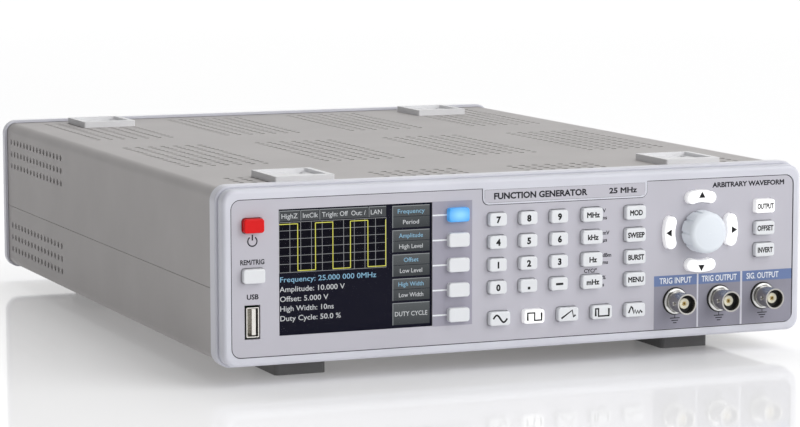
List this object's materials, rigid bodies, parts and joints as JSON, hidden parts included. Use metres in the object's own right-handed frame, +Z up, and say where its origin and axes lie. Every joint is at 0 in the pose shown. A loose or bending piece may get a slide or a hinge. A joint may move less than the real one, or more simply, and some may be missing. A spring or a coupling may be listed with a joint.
{
  "type": "function generator",
  "caption": "Bench function generator in a flat case: front panel with a display, keys, a turning knob and coaxial sockets, stacking lugs on top and feet with fold-out tilt legs below.",
  "frame": {"origin": "on the surface that the instrument stands on, under the middle of its overall box", "axes": "+X to the instrument's right as its user sees it, +Y from the front panel to the back, +Z up"},
  "size_m": [0.285, 0.377, 0.0895],
  "materials": {
    "keycap": "fine satin, off-white",
    "lit_keycap": "translucent white, lit from behind",
    "lit_blue_keycap": "translucent, lit blue from behind",
    "red_button": "satin red",
    "knob_plastic": "fine satin, pale blue-grey",
    "steel": "nickel-plated",
    "foot_plastic": "moulded, fine texture",
    "frame_plastic": "moulded, fine texture, off-white",
    "panel_film": "printed film, lavender grey",
    "window": "clear, over a dark display",
    "display": "dark display",
    "circuit_board": "solder resist",
    "nickel": "dull nickel",
    "insulator": "cream",
    "painted_cover": "fine textured paint, warm grey",
    "rear_plate": "painted sheet",
    "inlet_plastic": "black"
  },
  "bodies": {
    "case": {"front_frame": "frame_plastic", "front_panel": "panel_film", "display_window": "window", "display_module": "display", "control_board": "circuit_board", "bnc_sockets": "nickel", "bnc_inserts": "insulator", "usb_socket": "steel", "top_cover": "painted_cover", "bottom_cover": "painted_cover", "rear_frame": "frame_plastic", "rear_panel": "rear_plate", "feet": "foot_plastic", "stacking_lugs": "frame_plastic", "main_board": "circuit_board", "power_supply": "steel", "mains_inlet": "inlet_plastic"},
    "power_button": {"power_button": "red_button"},
    "remote_key": {"remote_key": "keycap"},
    "soft_key_1": {"soft_key_1": "lit_blue_keycap"},
    "soft_key_2": {"soft_key_2": "keycap"},
    "soft_key_3": {"soft_key_3": "keycap"},
    "soft_key_4": {"soft_key_4": "keycap"},
    "soft_key_5": {"soft_key_5": "keycap"},
    "digit_7": {"digit_7": "keycap"},
    "digit_8": {"digit_8": "keycap"},
    "digit_9": {"digit_9": "keycap"},
    "digit_4": {"digit_4": "keycap"},
    "digit_5": {"digit_5": "keycap"},
    "digit_6": {"digit_6": "keycap"},
    "digit_1": {"digit_1": "keycap"},
    "digit_2": {"digit_2": "keycap"},
    "digit_3": {"digit_3": "keycap"},
    "digit_0": {"digit_0": "keycap"},
    "digit_point": {"digit_point": "keycap"},
    "digit_minus": {"digit_minus": "keycap"},
    "unit_key_1": {"unit_key_1": "keycap"},
    "unit_key_2": {"unit_key_2": "keycap"},
    "unit_key_3": {"unit_key_3": "keycap"},
    "unit_key_4": {"unit_key_4": "keycap"},
    "mod_key": {"mod_key": "keycap"},
    "sweep_key": {"sweep_key": "keycap"},
    "burst_key": {"burst_key": "keycap"},
    "menu_key": {"menu_key": "keycap"},
    "sine_key": {"sine_key": "keycap"},
    "square_key": {"square_key": "lit_keycap"},
    "ramp_key": {"ramp_key": "keycap"},
    "pulse_key": {"pulse_key": "keycap"},
    "arbitrary_key": {"arbitrary_key": "keycap"},
    "output_key": {"output_key": "lit_keycap"},
    "offset_key": {"offset_key": "keycap"},
    "invert_key": {"invert_key": "keycap"},
    "arrow_up": {"arrow_up": "lit_keycap"},
    "arrow_right": {"arrow_right": "lit_keycap"},
    "arrow_down": {"arrow_down": "lit_keycap"},
    "arrow_left": {"arrow_left": "lit_keycap"},
    "encoder_shaft": {"encoder_shaft": "steel"},
    "knob": {"knob": "knob_plastic"},
    "tilt_leg_left": {"tilt_leg_left": "foot_plastic"},
    "tilt_leg_right": {"tilt_leg_right": "foot_plastic"}
  },
  "joints": [
    {"name": "power_button_press", "type": "slide", "parent": "case", "child": "power_button", "axis": [0, 1, 0], "range_m": [0, 0.002], "stiffness_N_per_m": 300},
    {"name": "remote_key_press", "type": "slide", "parent": "case", "child": "remote_key", "axis": [0, 1, 0], "range_m": [0, 0.0008], "stiffness_N_per_m": 400},
    {"name": "soft_key_1_press", "type": "slide", "parent": "case", "child": "soft_key_1", "axis": [0, 1, 0], "range_m": [0, 0.0008], "stiffness_N_per_m": 400},
    {"name": "soft_key_2_press", "type": "slide", "parent": "case", "child": "soft_key_2", "axis": [0, 1, 0], "range_m": [0, 0.0008], "stiffness_N_per_m": 400},
    {"name": "soft_key_3_press", "type": "slide", "parent": "case", "child": "soft_key_3", "axis": [0, 1, 0], "range_m": [0, 0.0008], "stiffness_N_per_m": 400},
    {"name": "soft_key_4_press", "type": "slide", "parent": "case", "child": "soft_key_4", "axis": [0, 1, 0], "range_m": [0, 0.0008], "stiffness_N_per_m": 400},
    {"name": "soft_key_5_press", "type": "slide", "parent": "case", "child": "soft_key_5", "axis": [0, 1, 0], "range_m": [0, 0.0008], "stiffness_N_per_m": 400},
    {"name": "digit_7_press", "type": "slide", "parent": "case", "child": "digit_7", "axis": [0, 1, 0], "range_m": [0, 0.0008], "stiffness_N_per_m": 400},
    {"name": "digit_8_press", "type": "slide", "parent": "case", "child": "digit_8", "axis": [0, 1, 0], "range_m": [0, 0.0008], "stiffness_N_per_m": 400},
    {"name": "digit_9_press", "type": "slide", "parent": "case", "child": "digit_9", "axis": [0, 1, 0], "range_m": [0, 0.0008], "stiffness_N_per_m": 400},
    {"name": "digit_4_press", "type": "slide", "parent": "case", "child": "digit_4", "axis": [0, 1, 0], "range_m": [0, 0.0008], "stiffness_N_per_m": 400},
    {"name": "digit_5_press", "type": "slide", "parent": "case", "child": "digit_5", "axis": [0, 1, 0], "range_m": [0, 0.0008], "stiffness_N_per_m": 400},
    {"name": "digit_6_press", "type": "slide", "parent": "case", "child": "digit_6", "axis": [0, 1, 0], "range_m": [0, 0.0008], "stiffness_N_per_m": 400},
    {"name": "digit_1_press", "type": "slide", "parent": "case", "child": "digit_1", "axis": [0, 1, 0], "range_m": [0, 0.0008], "stiffness_N_per_m": 400},
    {"name": "digit_2_press", "type": "slide", "parent": "case", "child": "digit_2", "axis": [0, 1, 0], "range_m": [0, 0.0008], "stiffness_N_per_m": 400},
    {"name": "digit_3_press", "type": "slide", "parent": "case", "child": "digit_3", "axis": [0, 1, 0], "range_m": [0, 0.0008], "stiffness_N_per_m": 400},
    {"name": "digit_0_press", "type": "slide", "parent": "case", "child": "digit_0", "axis": [0, 1, 0], "range_m": [0, 0.0008], "stiffness_N_per_m": 400},
    {"name": "digit_point_press", "type": "slide", "parent": "case", "child": "digit_point", "axis": [0, 1, 0], "range_m": [0, 0.0008], "stiffness_N_per_m": 400},
    {"name": "digit_minus_press", "type": "slide", "parent": "case", "child": "digit_minus", "axis": [0, 1, 0], "range_m": [0, 0.0008], "stiffness_N_per_m": 400},
    {"name": "unit_key_1_press", "type": "slide", "parent": "case", "child": "unit_key_1", "axis": [0, 1, 0], "range_m": [0, 0.0008], "stiffness_N_per_m": 400},
    {"name": "unit_key_2_press", "type": "slide", "parent": "case", "child": "unit_key_2", "axis": [0, 1, 0], "range_m": [0, 0.0008], "stiffness_N_per_m": 400},
    {"name": "unit_key_3_press", "type": "slide", "parent": "case", "child": "unit_key_3", "axis": [0, 1, 0], "range_m": [0, 0.0008], "stiffness_N_per_m": 400},
    {"name": "unit_key_4_press", "type": "slide", "parent": "case", "child": "unit_key_4", "axis": [0, 1, 0], "range_m": [0, 0.0008], "stiffness_N_per_m": 400},
    {"name": "mod_key_press", "type": "slide", "parent": "case", "child": "mod_key", "axis": [0, 1, 0], "range_m": [0, 0.0008], "stiffness_N_per_m": 400},
    {"name": "sweep_key_press", "type": "slide", "parent": "case", "child": "sweep_key", "axis": [0, 1, 0], "range_m": [0, 0.0008], "stiffness_N_per_m": 400},
    {"name": "burst_key_press", "type": "slide", "parent": "case", "child": "burst_key", "axis": [0, 1, 0], "range_m": [0, 0.0008], "stiffness_N_per_m": 400},
    {"name": "menu_key_press", "type": "slide", "parent": "case", "child": "menu_key", "axis": [0, 1, 0], "range_m": [0, 0.0008], "stiffness_N_per_m": 400},
    {"name": "sine_key_press", "type": "slide", "parent": "case", "child": "sine_key", "axis": [0, 1, 0], "range_m": [0, 0.0008], "stiffness_N_per_m": 400},
    {"name": "square_key_press", "type": "slide", "parent": "case", "child": "square_key", "axis": [0, 1, 0], "range_m": [0, 0.0008], "stiffness_N_per_m": 400},
    {"name": "ramp_key_press", "type": "slide", "parent": "case", "child": "ramp_key", "axis": [0, 1, 0], "range_m": [0, 0.0008], "stiffness_N_per_m": 400},
    {"name": "pulse_key_press", "type": "slide", "parent": "case", "child": "pulse_key", "axis": [0, 1, 0], "range_m": [0, 0.0008], "stiffness_N_per_m": 400},
    {"name": "arbitrary_key_press", "type": "slide", "parent": "case", "child": "arbitrary_key", "axis": [0, 1, 0], "range_m": [0, 0.0008], "stiffness_N_per_m": 400},
    {"name": "output_key_press", "type": "slide", "parent": "case", "child": "output_key", "axis": [0, 1, 0], "range_m": [0, 0.0008], "stiffness_N_per_m": 400},
    {"name": "offset_key_press", "type": "slide", "parent": "case", "child": "offset_key", "axis": [0, 1, 0], "range_m": [0, 0.0008], "stiffness_N_per_m": 400},
    {"name": "invert_key_press", "type": "slide", "parent": "case", "child": "invert_key", "axis": [0, 1, 0], "range_m": [0, 0.0008], "stiffness_N_per_m": 400},
    {"name": "arrow_up_press", "type": "slide", "parent": "case", "child": "arrow_up", "axis": [0, 1, 0], "range_m": [0, 0.0008], "stiffness_N_per_m": 400},
    {"name": "arrow_right_press", "type": "slide", "parent": "case", "child": "arrow_right", "axis": [0, 1, 0], "range_m": [0, 0.0008], "stiffness_N_per_m": 400},
    {"name": "arrow_down_press", "type": "slide", "parent": "case", "child": "arrow_down", "axis": [0, 1, 0], "range_m": [0, 0.0008], "stiffness_N_per_m": 400},
    {"name": "arrow_left_press", "type": "slide", "parent": "case", "child": "arrow_left", "axis": [0, 1, 0], "range_m": [0, 0.0008], "stiffness_N_per_m": 400},
    {"name": "knob_press", "type": "slide", "parent": "case", "child": "encoder_shaft", "axis": [0, 1, 0], "range_m": [0, 0.001], "stiffness_N_per_m": 500},
    {"name": "knob_turn", "type": "hinge", "parent": "encoder_shaft", "child": "knob", "pos_m": [0.0887, -0.1765, 0.0584], "axis": [0, 1, 0], "continuous": true},
    {"name": "tilt_leg_left_fold", "type": "hinge", "parent": "case", "child": "tilt_leg_left", "pos_m": [-0.096, -0.144, 0.0046], "axis": [1, 0, 0], "range_deg": [-105, 0]},
    {"name": "tilt_leg_right_fold", "type": "hinge", "parent": "case", "child": "tilt_leg_right", "pos_m": [0.096, -0.144, 0.0046], "axis": [1, 0, 0], "range_deg": [-105, 0]}
  ]
}
